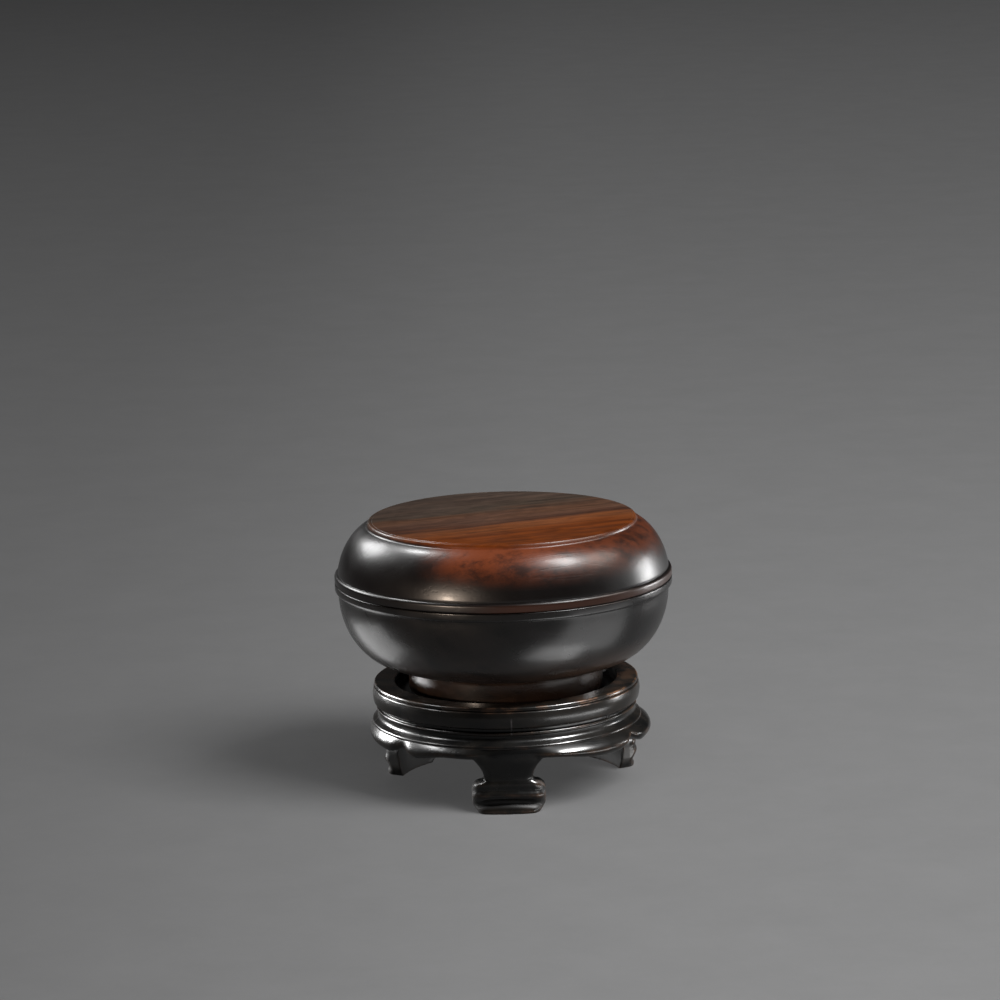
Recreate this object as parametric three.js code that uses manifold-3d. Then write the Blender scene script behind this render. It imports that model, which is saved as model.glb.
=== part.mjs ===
// Round incense box of dark hardwood on its carved three-legged stand.
// Millimetres, +Z up, the stand's feet on z = 0, the turning axis on x = y = 0, the middle leg towards -Y.

import * as THREE from 'three';
import { mergeVertices } from 'three/addons/utils/BufferGeometryUtils.js';
import Module from 'manifold-3d';

const wasm = await Module();
wasm.setup();

// The box
const BOX_DIAMETER = 80;
const LID_HEIGHT = 14.4;
const BOWL_DEPTH = 20;
const FOOT_RING_HEIGHT = 6.4;
const FOOT_RING_R = 23.1;
const FOOT_RING_THICK = 3.1;
const LID_WALL = 2.6;
const BOWL_WALL = 3;
const LID_SHOULDER = 8.1;
const DISC_BORDER = 1.2;
const RIM_EDGE = 0.95;
const BEAD_HEIGHT = 2.1;
const BEAD_SWELL = 0.85;
const QUIRK = 0.15;
const RING_COVE = 0.9;
const RIM_LEDGE = 3.4;
const FLANGE_HEIGHT = 3;
const FLANGE_THICK = 1.8;

// The stand, from the ground up
const LEG_HEIGHT = 13.5;
const APRON_HEIGHT = 2.9;
const WAIST_HEIGHT = 4;
const COLLAR_HEIGHT = 5.3;
const SEAT_DEPTH = 2.4;
const SEAT_PLAY = 3.3;
const SEAT_THICK = 4.6;
const COLLAR_WALL = 5.4;
const WAIST_CUT = 1.6;
const APRON_SWELL = 1.6;
const APRON_THICK = 4.4;
const LOBE_DROP = 1.5;
const CUSP_RISE = 2.5;
const CUSP_SHARE = 0.18;

// The hand carving isn't quite even: the belly is fuller on the right, each span's cusp is shifted by some
// degrees, and the lobes before and after it start at their own share of the way from the leg
const FULLER_SIDE = 0.8;
const CUSP_SHIFTS = [2, 0, 10];
const LOBE_STARTS = [[0.3, 0.3], [0.3, 0.3], [0.3, 0.52]];

// The legs, with the degrees where each stands and how far its foot reaches out beyond the others
const LEG_ANGLES = [0, 121.5, 240];
const LEG_REACHES = [0, 2, 0];
const LEG_COUNT = LEG_ANGLES.length;
const LEG_LEAN = 2.8;
const FOOT_HEIGHT = 8;
const ANKLE_WIDTH = 11.3;
const ANKLE_THICK = 3.9;
const FOOT_WIDTH = 17.2;
const FOOT_THICK = 4.6;
const PAD_WIDTH = 13.8;
const LEG_EDGE = 0.7;
const SHOULDER_FLARE = 2.7;

// Clearance between pieces that touch, the bevel on their edges, and the fineness of the round faces
const GAP = 0.3;
const BEVEL = 0.4;
const TURN_STEPS = 48;
const APRON_STEP_DEGREES = 3;

// Sizes that follow from the ones above
const BOX_R = BOX_DIAMETER / 2;
const RIM_R = BOX_R - LID_SHOULDER;
const NECK_R = BOX_R - BEAD_SWELL;
const FLANGE_R = BOX_R - RIM_LEDGE;
const FLANGE_INNER_R = FLANGE_R - FLANGE_THICK;
const APRON_TOP_Z = LEG_HEIGHT + APRON_HEIGHT;
const COLLAR_LOW_Z = APRON_TOP_Z + WAIST_HEIGHT;
const STAND_TOP_Z = COLLAR_LOW_Z + COLLAR_HEIGHT;
const SEAT_Z = STAND_TOP_Z - SEAT_DEPTH;
const UNDERSIDE_Z = SEAT_Z + GAP + FOOT_RING_HEIGHT;
const JOINT_Z = UNDERSIDE_Z + BOWL_DEPTH;
const TOP_Z = JOINT_Z + LID_HEIGHT;
const SEAT_R = FOOT_RING_R + SEAT_PLAY;
const COLLAR_R = SEAT_R + COLLAR_WALL;
const WAIST_R = COLLAR_R - WAIST_CUT;
const APRON_TOP_R = COLLAR_R + 0.2;
const APRON_R = APRON_TOP_R + APRON_SWELL;
const APRON_INNER_R = APRON_R - APRON_THICK;
const ANKLE_R = APRON_R - LEG_LEAN;
const FOOT_R = ANKLE_R - 0.2;

function smooth(t) {
  const k = Math.min(1, Math.max(0, t));
  return k * k * (3 - 2 * k);
}

function blend(a, b, t) {
  return a + (b - a) * t;
}

// A turned body from its profile of [radius, height] points, which starts and ends on the axis
function turned(profile) {
  const points = profile.map(([r, z]) => new THREE.Vector2(r, z));
  const geometry = new THREE.LatheGeometry(points, TURN_STEPS);
  geometry.rotateX(Math.PI / 2);
  return geometry;
}

// Solid body from a geometry, merged into one closed mesh whichever way round its faces were made
function solid(geometry) {
  const g = geometry.clone();
  g.deleteAttribute('normal');
  g.deleteAttribute('uv');
  const merged = mergeVertices(g, 1e-4);
  const vertProperties = new Float32Array(merged.attributes.position.array);
  const triVerts = new Uint32Array(dropSlivers(merged.index.array));
  if (signedVolume(vertProperties, triVerts) < 0) {
    for (let i = 0; i < triVerts.length; i += 3) {
      const keep = triVerts[i];
      triVerts[i] = triVerts[i + 1];
      triVerts[i + 1] = keep;
    }
  }
  return new wasm.Manifold(new wasm.Mesh({ numProp: 3, vertProperties, triVerts }));
}

function dropSlivers(index) {
  const kept = [];
  for (let i = 0; i < index.length; i += 3) {
    const [a, b, c] = [index[i], index[i + 1], index[i + 2]];
    if (a !== b && b !== c && c !== a) kept.push(a, b, c);
  }
  return kept;
}

function signedVolume(position, index) {
  const [a, b, c] = [new THREE.Vector3(), new THREE.Vector3(), new THREE.Vector3()];
  let total = 0;
  for (let i = 0; i < index.length; i += 3) {
    a.fromArray(position, index[i] * 3);
    b.fromArray(position, index[i + 1] * 3);
    c.fromArray(position, index[i + 2] * 3);
    total += a.dot(b.clone().cross(c)) / 6;
  }
  return total;
}

// Named mesh from a solid body, with its own material
function piece(name, body, colour, roughness) {
  const mesh = body.getMesh();
  const geometry = new THREE.BufferGeometry();
  geometry.setAttribute('position', new THREE.BufferAttribute(new Float32Array(mesh.vertProperties), 3));
  geometry.setIndex(new THREE.BufferAttribute(new Uint32Array(mesh.triVerts), 1));
  geometry.computeVertexNormals();
  const material = new THREE.MeshStandardMaterial({ color: colour, roughness, metalness: 0 });
  material.name = `${name}_wood`;
  const result = new THREE.Mesh(geometry, material);
  result.name = name;
  return result;
}

// Points moved square to their own outline by a wall's thickness, to its left where side is 1
function inset(points, wall, side) {
  return points.map(([r, z], i) => {
    const [r0, z0] = points[Math.max(0, i - 1)];
    const [r1, z1] = points[Math.min(points.length - 1, i + 1)];
    const length = Math.hypot(r1 - r0, z1 - z0);
    return [r - side * wall * (z1 - z0) / length, z + side * wall * (r1 - r0) / length];
  });
}

// Outer face of the lid's shoulder from its rim to its bead, falling slowly and then steeply
function lidShoulder(steps) {
  const top = TOP_Z - RIM_EDGE - QUIRK;
  const low = JOINT_Z + BEAD_HEIGHT + BEVEL;
  const start = RIM_R + QUIRK;
  const reach = NECK_R + QUIRK - start;
  const points = [];
  for (let i = 0; i <= steps; i += 1) {
    const t = i / steps;
    const angle = t * Math.PI / 2;
    const r = start + reach * (0.72 * Math.sin(angle) + 0.28 * t);
    const z = top - (top - low) * (0.62 * (1 - Math.cos(angle)) + 0.38 * t);
    points.push([r, z]);
  }
  return points;
}

function lid() {
  const socketR = FLANGE_R + GAP;
  const socketTop = JOINT_Z + FLANGE_HEIGHT + GAP;
  const bottom = JOINT_Z + GAP / 2;
  const ceiling = TOP_Z - LID_WALL;
  const shoulder = lidShoulder(7);
  const hollow = inset(shoulder, LID_WALL, -1)
    .filter(([r, z]) => z > socketTop + BEVEL && z < ceiling - BEVEL && r < socketR - BEVEL)
    .reverse();
  return solid(turned([
    [0, TOP_Z],
    [RIM_R - DISC_BORDER, TOP_Z],
    [RIM_R - DISC_BORDER * 0.8, TOP_Z - 0.2],
    [RIM_R - QUIRK, TOP_Z - QUIRK],
    [RIM_R, TOP_Z - BEVEL],
    [RIM_R, TOP_Z - RIM_EDGE],
    ...shoulder,
    [BOX_R - BEVEL, JOINT_Z + BEAD_HEIGHT],
    [BOX_R, JOINT_Z + BEAD_HEIGHT - BEVEL],
    [BOX_R, bottom + BEVEL],
    [BOX_R - BEVEL, bottom],
    [socketR, bottom],
    [socketR, socketTop],
    ...hollow,
    [RIM_R - LID_WALL, ceiling - BEVEL],
    [RIM_R - LID_WALL * 2, ceiling],
    [0, ceiling],
  ]));
}

// Outer face of the bowl from its foot ring up to its neck, a quarter of a slightly squared oval
function bowlSide(steps) {
  const top = JOINT_Z - BEAD_HEIGHT - BEVEL * 3;
  const low = UNDERSIDE_Z + QUIRK;
  const end = FOOT_RING_R + RING_COVE;
  const points = [];
  for (let i = steps; i >= 0; i -= 1) {
    const angle = (i / steps) * Math.PI / 2;
    const r = end + (NECK_R - end) * Math.cos(angle) ** 0.86;
    const z = top - (top - low) * Math.sin(angle) ** 1.06;
    points.push([r, z]);
  }
  return points;
}

function bowl() {
  const side = bowlSide(10);
  const footZ = SEAT_Z + GAP;
  const footInner = FOOT_RING_R - FOOT_RING_THICK;
  const rimZ = JOINT_Z - GAP / 2;
  const flangeTop = JOINT_Z + FLANGE_HEIGHT;
  const floorZ = UNDERSIDE_Z + BOWL_WALL;
  const hollow = inset(side, BOWL_WALL, 1)
    .filter(([r, z]) => r < FLANGE_INNER_R - BEVEL && z > floorZ + BEVEL)
    .reverse();
  const hollowTop = Math.max(floorZ, ...hollow.map(([, z]) => z)) + BEVEL * 3;
  return solid(turned([
    [0, UNDERSIDE_Z],
    [footInner - BEVEL, UNDERSIDE_Z],
    [footInner, UNDERSIDE_Z - BEVEL],
    [footInner, footZ + BEVEL],
    [footInner + BEVEL, footZ],
    [FOOT_RING_R - BEVEL, footZ],
    [FOOT_RING_R, footZ + BEVEL],
    [FOOT_RING_R, UNDERSIDE_Z - BEVEL],
    ...side,
    [NECK_R, JOINT_Z - BEAD_HEIGHT - BEVEL],
    [BOX_R - BEVEL, JOINT_Z - BEAD_HEIGHT],
    [BOX_R, JOINT_Z - BEAD_HEIGHT + BEVEL],
    [BOX_R, rimZ - BEVEL],
    [BOX_R - BEVEL, rimZ],
    [FLANGE_R, rimZ],
    [FLANGE_R, flangeTop - BEVEL],
    [FLANGE_R - BEVEL, flangeTop],
    [FLANGE_INNER_R + BEVEL, flangeTop],
    [FLANGE_INNER_R, flangeTop - BEVEL],
    [FLANGE_INNER_R, hollowTop],
    ...hollow,
    [FOOT_RING_R - BOWL_WALL, floorZ],
    [0, floorZ],
  ]));
}

// Collar with its seat, and the moulded waist down to the top of the apron
function standTop() {
  return solid(turned([
    [0, SEAT_Z],
    [SEAT_R, SEAT_Z],
    [SEAT_R, STAND_TOP_Z - BEVEL],
    [SEAT_R + BEVEL, STAND_TOP_Z],
    [COLLAR_R - 0.7, STAND_TOP_Z],
    [COLLAR_R - 0.35, STAND_TOP_Z - BEVEL],
    [COLLAR_R - 0.45, STAND_TOP_Z - 0.7],
    [COLLAR_R, STAND_TOP_Z - COLLAR_HEIGHT * 0.4],
    [COLLAR_R - 0.15, COLLAR_LOW_Z + 0.9],
    [COLLAR_R - 0.6, COLLAR_LOW_Z + 0.25],
    [WAIST_R + 0.3, COLLAR_LOW_Z],
    [WAIST_R + 0.75, COLLAR_LOW_Z - WAIST_HEIGHT * 0.1],
    [WAIST_R + 0.75, COLLAR_LOW_Z - WAIST_HEIGHT * 0.21],
    [WAIST_R + 0.1, COLLAR_LOW_Z - WAIST_HEIGHT * 0.33],
    [WAIST_R, APRON_TOP_Z + WAIST_HEIGHT * 0.3],
    [WAIST_R + 0.5, APRON_TOP_Z + WAIST_HEIGHT * 0.14],
    [APRON_TOP_R - 0.1, APRON_TOP_Z + WAIST_HEIGHT * 0.05],
    [APRON_TOP_R, APRON_TOP_Z - 0.15],
    [APRON_TOP_R - 0.3, APRON_TOP_Z - BEVEL],
    [APRON_INNER_R + BEVEL, APRON_TOP_Z - BEVEL],
    [APRON_INNER_R, APRON_TOP_Z],
    [APRON_INNER_R, SEAT_Z - SEAT_THICK],
    [0, SEAT_Z - SEAT_THICK],
  ]));
}

// Radius of the apron's outer face at an angle and a height: an ovolo above its belly, tucked in below
function apronRadius(degrees, z) {
  const belly = APRON_R + FULLER_SIDE * Math.sin(THREE.MathUtils.degToRad(degrees));
  if (z >= LEG_HEIGHT) {
    const t = Math.max(0, (APRON_TOP_Z - z) / APRON_HEIGHT);
    return blend(COLLAR_R, belly, Math.sin(t * Math.PI / 2));
  }
  return belly - 0.12 * (LEG_HEIGHT - z) ** 1.5;
}

// How far an angle lies between a leg, 0, and its span's cusp, 1, and where the lobe starts on that way
function placeInSpan(degrees) {
  const step = 360 / LEG_COUNT;
  const span = Math.floor(degrees / step) % LEG_COUNT;
  const past = degrees % step;
  const cusp = step / 2 + CUSP_SHIFTS[span];
  const [before, after] = LOBE_STARTS[span];
  if (past < cusp) return { share: past / cusp, start: before };
  return { share: (step - past) / (step - cusp), start: after };
}

// Height of the apron's bracket-shaped lower edge: level by the leg, then a lobe, then a sharp cusp
function apronEdge(degrees) {
  const { share, start } = placeInSpan(degrees);
  const drop = LOBE_DROP * smooth((share - start) / 0.4);
  const rise = CUSP_RISE * Math.max(0, (share - 1 + CUSP_SHARE) / CUSP_SHARE) ** 1.8;
  return LEG_HEIGHT - drop + rise;
}

// Ring of sections around the axis, each a list of [radius, height] points of the same length
function ring(sections) {
  const position = [];
  const index = [];
  const size = sections[0].points.length;
  sections.forEach(({ degrees, points }) => {
    const a = THREE.MathUtils.degToRad(degrees);
    points.forEach(([r, z]) => position.push(r * Math.sin(a), -r * Math.cos(a), z));
  });
  for (let i = 0; i < sections.length; i += 1) {
    const j = (i + 1) % sections.length;
    for (let k = 0; k < size; k += 1) {
      const l = (k + 1) % size;
      index.push(i * size + k, j * size + k, j * size + l, i * size + k, j * size + l, i * size + l);
    }
  }
  return closed(position, index);
}

function closed(position, index) {
  const geometry = new THREE.BufferGeometry();
  geometry.setAttribute('position', new THREE.Float32BufferAttribute(position, 3));
  geometry.setIndex(index);
  return geometry;
}

// Angles of the apron's sections, evenly spaced but with one exactly at each cusp
function apronAngles() {
  const step = 360 / LEG_COUNT;
  const cusps = Array.from({ length: LEG_COUNT }, (_, i) => (
    step * (i + 0.5) + CUSP_SHIFTS[i % CUSP_SHIFTS.length]));
  const even = Array.from({ length: 360 / APRON_STEP_DEGREES }, (_, i) => i * APRON_STEP_DEGREES);
  const kept = even.filter((a) => cusps.every((c) => Math.abs(a - c) > APRON_STEP_DEGREES / 2));
  return [...kept, ...cusps].sort((a, b) => a - b);
}

function apron() {
  const top = APRON_TOP_Z - 0.05;
  const rows = 3;
  const sections = apronAngles().map((degrees) => {
    const low = apronEdge(degrees);
    const points = [[APRON_INNER_R, top]];
    for (let k = 0; k <= rows; k += 1) {
      const z = blend(top, low, k / rows);
      const rounding = k === rows ? BEVEL : 0;
      points.push([apronRadius(degrees, z) - rounding, z]);
    }
    points.push([APRON_INNER_R, low]);
    return { degrees, points };
  });
  return solid(ring(sections));
}

// Half the width of a leg at a height: flared under the apron, narrow at the ankle, wide in the foot
function legHalfWidth(z) {
  const ankle = ANKLE_WIDTH / 2;
  if (z > FOOT_HEIGHT) {
    return ankle + SHOULDER_FLARE * ((z - FOOT_HEIGHT) / (LEG_HEIGHT - FOOT_HEIGHT)) ** 2.2;
  }
  const corner = Math.max(0, 1 - (FOOT_HEIGHT - z) / (FOOT_HEIGHT * 0.3));
  const foot = blend(ankle, FOOT_WIDTH / 2, Math.sqrt(1 - corner ** 2));
  const low = Math.max(0, 1 - z / (FOOT_HEIGHT * 0.35));
  return foot - (FOOT_WIDTH - PAD_WIDTH) / 2 * low ** 2;
}

// Levels of the foot as shares of its height, with how far its face stands out or lies back there:
// two rolls with a groove between them, the hollow under the rolls, and the pad
const FOOT_RELIEF = [
  [0, 0], [0.06, 0], [0.15, 0], [0.28, -0.9], [0.38, -0.5], [0.45, 0.3], [0.53, 0.5], [0.61, 0.4],
  [0.67, 0], [0.76, 0.4], [0.87, 0.5], [0.96, 0.2], [1, 0],
];

// Outer radius of a leg's face, leaning in from the apron to the ankle, without the foot's relief
function legOuter(z, degrees, reach) {
  if (z <= FOOT_HEIGHT) return blend(FOOT_R, ANKLE_R, z / FOOT_HEIGHT) + reach;
  const t = (z - FOOT_HEIGHT) / (LEG_HEIGHT - FOOT_HEIGHT);
  return blend(ANKLE_R + reach, apronRadius(degrees, LEG_HEIGHT), Math.min(1, t ** 1.4));
}

function legInner(z, reach) {
  const ankle = ANKLE_R - ANKLE_THICK + reach;
  if (z <= FOOT_HEIGHT) return blend(FOOT_R - FOOT_THICK + reach, ankle, smooth(z / FOOT_HEIGHT));
  return blend(ankle, APRON_INNER_R, smooth((z - FOOT_HEIGHT) / (LEG_HEIGHT - FOOT_HEIGHT)));
}

// One leg pointing to -Y, lofted through level sections whose faces follow circles about the axis
function leg(degrees, reach) {
  const shin = LEG_HEIGHT - FOOT_HEIGHT;
  const levels = [
    ...FOOT_RELIEF.map(([share, relief]) => [share * FOOT_HEIGHT, relief]),
    ...[0.2, 0.45, 0.7, 0.9, 1.15].map((share) => [FOOT_HEIGHT + share * shin, 0]),
  ];
  const sections = levels.map(([z, relief]) => {
    const w = legHalfWidth(z);
    const ro = legOuter(z, degrees, reach) + relief;
    const ri = legInner(z, reach);
    const across = [-w, -w, -w + LEG_EDGE, -w * 0.35, w * 0.35, w - LEG_EDGE, w, w, w * 0.35, -w * 0.35];
    const radii = [ri, ro - LEG_EDGE, ro, ro, ro, ro, ro - LEG_EDGE, ri, ri, ri];
    return across.map((t, k) => [t, -Math.sqrt(radii[k] ** 2 - t ** 2), z]);
  });
  const position = sections.flat(2);
  const index = [];
  const corners = sections[0].length;
  const last = (sections.length - 1) * corners;
  for (let low = 0; low < last; low += corners) {
    for (let k = 0; k < corners; k += 1) {
      const [a, b] = [low + k, low + (k + 1) % corners];
      index.push(a, b, b + corners, a, b + corners, a + corners);
    }
  }
  const outline = sections[0].map(([x, y]) => new THREE.Vector2(x, y));
  THREE.ShapeUtils.triangulateShape(outline, []).forEach(([a, b, c]) => {
    index.push(a, c, b);
    index.push(last + a, last + b, last + c);
  });
  return closed(position, index);
}

function stand() {
  const legs = LEG_ANGLES.map((degrees, i) => (
    solid(leg(degrees, LEG_REACHES[i]).rotateZ(THREE.MathUtils.degToRad(degrees)))));
  return legs.reduce((body, one) => body.add(one), standTop().add(apron()));
}

const group = new THREE.Group();
group.name = 'incense_box';
group.add(piece('lid', lid(), '#5b331c', 0.3));
group.add(piece('bowl', bowl(), '#1f1613', 0.28));
group.add(piece('stand', stand(), '#1b1310', 0.35));

export default group;
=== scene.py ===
# %% [markdown]
# # A round incense box on its carved stand
# The box is turned from a dark, heavy hardwood and polished until it shines. A lid with a flat, streaky
# top sits on a low bowl, and the bowl stands by its foot ring on a black stand with three scroll feet.
# This lesson rebuilds the three pieces in metres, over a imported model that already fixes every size.

# %% Load the frame
import bmesh
import bpy
import math
from mathutils import Matrix, Vector


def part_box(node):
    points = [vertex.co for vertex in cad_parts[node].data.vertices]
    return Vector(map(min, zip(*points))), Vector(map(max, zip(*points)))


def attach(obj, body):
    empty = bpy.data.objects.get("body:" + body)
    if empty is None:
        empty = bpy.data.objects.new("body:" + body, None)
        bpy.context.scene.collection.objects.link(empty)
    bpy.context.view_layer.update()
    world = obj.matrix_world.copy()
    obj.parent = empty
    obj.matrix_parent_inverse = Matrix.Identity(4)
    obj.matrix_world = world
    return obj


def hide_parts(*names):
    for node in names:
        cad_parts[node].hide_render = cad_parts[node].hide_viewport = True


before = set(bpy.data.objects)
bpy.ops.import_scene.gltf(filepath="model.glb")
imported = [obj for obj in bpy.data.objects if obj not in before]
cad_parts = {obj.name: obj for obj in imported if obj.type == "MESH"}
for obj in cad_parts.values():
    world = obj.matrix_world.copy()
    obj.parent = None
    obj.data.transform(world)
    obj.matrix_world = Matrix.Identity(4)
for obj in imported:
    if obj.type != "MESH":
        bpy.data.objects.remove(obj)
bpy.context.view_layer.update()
print("frame nodes:", sorted(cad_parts))

# %% [markdown]
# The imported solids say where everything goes, so the main heights and radii are read from their boxes.
# Only what the boxes can't tell, such as the play between two pieces, is written here as its own size.

# %% Sizes that the frame gives
MM = 0.001
GAP = 0.3 * MM
lid_low, lid_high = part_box("lid")
bowl_low, bowl_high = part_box("bowl")
BOX_R = lid_high[0]
TOP_Z = lid_high[2]
JOINT_Z = lid_low[2] - GAP / 2
FLANGE_TOP_Z = bowl_high[2]
BOWL_FOOT_Z = bowl_low[2]
STAND_TOP_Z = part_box("stand")[1][2]
print("joint at", round(JOINT_Z / MM, 2), "mm, stand top at", round(STAND_TOP_Z / MM, 2), "mm")

# %% [markdown]
# A turned profile is easiest to read as a few corner points, each with the radius of its rounding. The
# helper below swaps every corner for a small arc, because no arris on a handled piece of wood is razor
# sharp. An arc takes less than half of the edge beside it, so that two neighbours never overlap.

# %% Rounded profile
ARC_STEPS = 5
NEARLY_HALF = 0.49


def rounded(corners):
    """Outline through (radius, height, rounding) corners, with an arc of that rounding at each."""
    points = []
    for i, (r, z, rounding) in enumerate(corners):
        here = Vector((r, z))
        if rounding == 0 or i in (0, len(corners) - 1):
            points.append(here)
            continue
        back = Vector(corners[i - 1][:2]) - here
        ahead = Vector(corners[i + 1][:2]) - here
        reach = min(rounding, back.length * NEARLY_HALF, ahead.length * NEARLY_HALF)
        start = here + back.normalized() * reach
        end = here + ahead.normalized() * reach
        for k in range(ARC_STEPS + 1):
            t = k / ARC_STEPS
            points.append(start.lerp(here, t).lerp(here.lerp(end, t), t))
    return points


# %% [markdown]
# Spinning a profile round the axis does in one step what the lathe does. The first and last points lie on
# the axis, so the doubles there are merged, and the normals are recalculated once the body is closed.

# %% Spin a profile into a body
TURN_STEPS = 256


def spin_body(points):
    """Closed bmesh made by spinning an outline of (radius, height) points round the Z axis."""
    bm = bmesh.new()
    verts = [bm.verts.new((0, -p[0], p[1])) for p in points]
    edges = [bm.edges.new(pair) for pair in zip(verts, verts[1:])]
    bmesh.ops.spin(bm, geom=verts + edges, cent=(0, 0, 0), axis=(0, 0, 1), angle=2 * math.pi,
                   steps=TURN_STEPS, use_merge=True, use_duplicate=False)
    bmesh.ops.remove_doubles(bm, verts=bm.verts, dist=1e-7)
    bmesh.ops.recalc_face_normals(bm, faces=bm.faces)
    return bm


# %% [markdown]
# A carver eases every cut in and out of the wood. Two small helpers do the same to a number: one eases
# from 0 to 1, and the other goes from one value to another.

# %% Easing
def smooth(t):
    """Eases from 0 to 1."""
    t = min(1.0, max(0.0, t))
    return t * t * (3 - 2 * t)


def blend(a, b, t):
    """Value between a and b."""
    return a + (b - a) * t


# %% [markdown]
# Hands and cloths wear the arrises first, so the finishes will brown the edges and leave the hollows
# dark. They can do so if every point of a body knows how sharp the wood is there. A shader could look for
# edges by itself, but a value stored on the mesh costs nothing to render and can be softened beforehand.

# %% Edge wear
WEAR = "edge_wear"
WEAR_ROUNDS = 2
WEAR_SPREAD = 0.6


def mark_wear(bm):
    """Stores how convex the surface is at each point, smoothed over its neighbours."""
    layer = bm.verts.layers.float.new(WEAR)
    bm.normal_update()
    for v in bm.verts:
        bend = 0.0
        for e in v.link_edges:
            if len(e.link_faces) == 2:
                bend += e.calc_face_angle_signed(0.0)
        v[layer] = bend / max(1, len(v.link_edges))
    for _ in range(WEAR_ROUNDS):
        mean = {v: sum(e.other_vert(v)[layer] for e in v.link_edges) / len(v.link_edges) for v in bm.verts}
        for v, value in mean.items():
            v[layer] = blend(v[layer], value, WEAR_SPREAD)


# %% [markdown]
# Each finished body becomes an object of its own. It rides the one body of the imported model and stands in
# for the imported solid of the same name, which it hides.

# %% Finish a piece
def finish_piece(bm, name, node):
    """Turns a bmesh into a smooth-shaded object that rides the root and stands for a node."""
    mark_wear(bm)
    mesh = bpy.data.meshes.new(name)
    bm.to_mesh(mesh)
    bm.free()
    mesh.shade_smooth()
    piece = bpy.data.objects.new(name, mesh)
    bpy.context.scene.collection.objects.link(piece)
    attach(piece, "root")
    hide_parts(node)
    print(name, len(mesh.polygons), "faces")
    return piece


# %% [markdown]
# ## The lid
# From the rim of its flat top the lid's shoulder first goes outwards and then falls ever more steeply. A
# quarter circle alone would look too plump, so both ways it is mixed with a share of a straight slope.

# %% Shoulder of the lid
LID_RIM_R = BOX_R - 8.1 * MM
BEAD_HEIGHT = 2.1 * MM
NECK_R = BOX_R - 0.85 * MM
SHOULDER_STEPS = 28
SHOULDER_OUT = (0.72, 0.28)
SHOULDER_DOWN = (0.62, 0.38)


def lid_shoulder():
    """Outer face from the rim down to the bead; each pair is a share of circle and one of slope."""
    top = TOP_Z - 1.1 * MM
    low = JOINT_Z + BEAD_HEIGHT + 0.25 * MM
    start = LID_RIM_R + 0.2 * MM
    reach = NECK_R + 0.1 * MM - start
    points = []
    for i in range(SHOULDER_STEPS + 1):
        t = i / SHOULDER_STEPS
        angle = t * math.pi / 2
        out = SHOULDER_OUT[0] * math.sin(angle) + SHOULDER_OUT[1] * t
        down = SHOULDER_DOWN[0] * (1 - math.cos(angle)) + SHOULDER_DOWN[1] * t
        points.append((start + reach * out, top - (top - low) * down, 0))
    return points


# %% [markdown]
# Lid and bowl meet in two half-round beads, one on each side of the joint. They are the same moulding
# turned over, so one helper makes both.

# %% Beaded lip
def bead(outer_z, joint_z, side):
    """Half-round lip between its quirk and the joint; side is 1 above the joint and -1 below it."""
    height = abs(outer_z - joint_z)
    return [(NECK_R + 0.05 * MM, outer_z + side * 0.12 * MM, 0.08 * MM),
            (BOX_R - 0.4 * MM, outer_z, 0.2 * MM),
            (BOX_R, outer_z - side * height * 0.2, 0.4 * MM),
            (BOX_R, joint_z + side * 0.2 * MM, 0.15 * MM),
            (BOX_R - 0.2 * MM, joint_z, 0.1 * MM)]


# %% [markdown]
# The flat disc on top ends in a hair-fine groove and a raised line. Under it the lid is hollow, and a
# plain socket fits over the bowl's upstanding flange. The whole lid is one outline that starts and ends
# on the axis, so that a single spin closes it.

# %% Lid outline
LID_WALL = 2.6 * MM
DISC_R = LID_RIM_R - 1.2 * MM
FLANGE_R = BOX_R - 3.4 * MM


def lid_outline():
    """Whole lid from the middle of its top, round the lip and back up inside."""
    socket_r = FLANGE_R + GAP
    socket_z = FLANGE_TOP_Z + GAP
    bottom = JOINT_Z + 0.05 * MM
    ceiling = TOP_Z - LID_WALL
    top = [(0, TOP_Z, 0),
           (DISC_R - 2 * MM, TOP_Z, 0),
           (DISC_R, TOP_Z, 0.1 * MM),
           (DISC_R + 0.2 * MM, TOP_Z - 0.14 * MM, 0.1 * MM),
           (DISC_R + 0.45 * MM, TOP_Z - 0.03 * MM, 0.15 * MM),
           (LID_RIM_R - 0.3 * MM, TOP_Z - 0.08 * MM, 0.3 * MM),
           (LID_RIM_R, TOP_Z - 0.55 * MM, 0.3 * MM)]
    hollow = [(socket_r, bottom, 0.15 * MM),
              (socket_r, socket_z, 0.15 * MM),
              (socket_r - 1.1 * MM, socket_z + 0.6 * MM, 0.6 * MM),
              (34.2 * MM, JOINT_Z + 8.6 * MM, 3 * MM),
              (31.2 * MM, ceiling - 0.9 * MM, 1.5 * MM),
              (27 * MM, ceiling, 1.5 * MM),
              (0, ceiling, 0)]
    return rounded(top + lid_shoulder() + bead(JOINT_Z + BEAD_HEIGHT, bottom, 1) + hollow)


lid = finish_piece(spin_body(lid_outline()), "lid_turned", "lid")

# %% [markdown]
# ## The bowl
# Under its bead the bowl's side falls steeply and rounds in to the foot ring. The side is a quarter of an
# oval, and a power near 1 on each half of it makes the oval a little squarer.

# %% Side of the bowl
FOOT_RING_R = 23.1 * MM
UNDERSIDE_Z = BOWL_FOOT_Z + 6.4 * MM
SIDE_STEPS = 34
SIDE_POWER_OUT = 0.86
SIDE_POWER_DOWN = 1.06


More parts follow.
